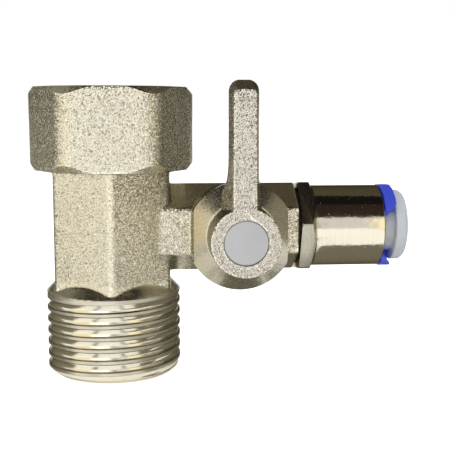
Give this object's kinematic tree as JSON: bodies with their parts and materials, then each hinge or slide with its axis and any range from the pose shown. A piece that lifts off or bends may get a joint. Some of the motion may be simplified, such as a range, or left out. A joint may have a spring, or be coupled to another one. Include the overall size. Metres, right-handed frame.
{
  "type": "two-way splitter valve",
  "caption": "Half-inch female-to-male pipe adapter with a hexagonal side branch, a lever-turned ball valve and a push-in tube outlet with a locking clip.",
  "frame": {"origin": "on the run axis at the end face of the male thread", "axes": "+Z along the run from the male thread to the female thread, +X along the branch towards the tube outlet, -Y towards the lever"},
  "size_m": [0.0589, 0.0308, 0.0453],
  "materials": {
    "body_plating": "nickel plate over a blasted forging, threads turned",
    "fitting_plating": "nickel plate, turned",
    "lever_plating": "nickel plate over a blasted casting",
    "stem_brass": "turned",
    "ball_chrome": "polished",
    "screw_steel": "bright zinc",
    "seat_plastic": "smooth white",
    "rubber": "matte black",
    "cap_plastic": "smooth pale blue-grey",
    "collet_plastic": "satin grey",
    "clip_plastic": "satin blue"
  },
  "bodies": {
    "valve": {"body": "body_plating", "inlet_washer": "rubber", "seat_inner": "seat_plastic", "seat_outer": "seat_plastic", "fitting_gasket": "rubber", "outlet_fitting": "fitting_plating", "tube_ring": "rubber", "tube_ring_spacer": "seat_plastic", "collet": "collet_plastic", "grip_teeth": "screw_steel", "locking_clip": "clip_plastic"},
    "handle": {"lever": "lever_plating", "lever_screw": "screw_steel", "spring_washer": "screw_steel", "lever_cap": "cap_plastic", "stem": "stem_brass", "stem_ring_inner": "rubber", "stem_ring_outer": "rubber", "thrust_washer": "seat_plastic", "ball": "ball_chrome"}
  },
  "joints": [
    {"name": "lever_turn", "type": "hinge", "parent": "valve", "child": "handle", "pos_m": [0.01912, 0, 0.02256], "axis": [0, 1, 0], "range_deg": [0, 90]}
  ]
}
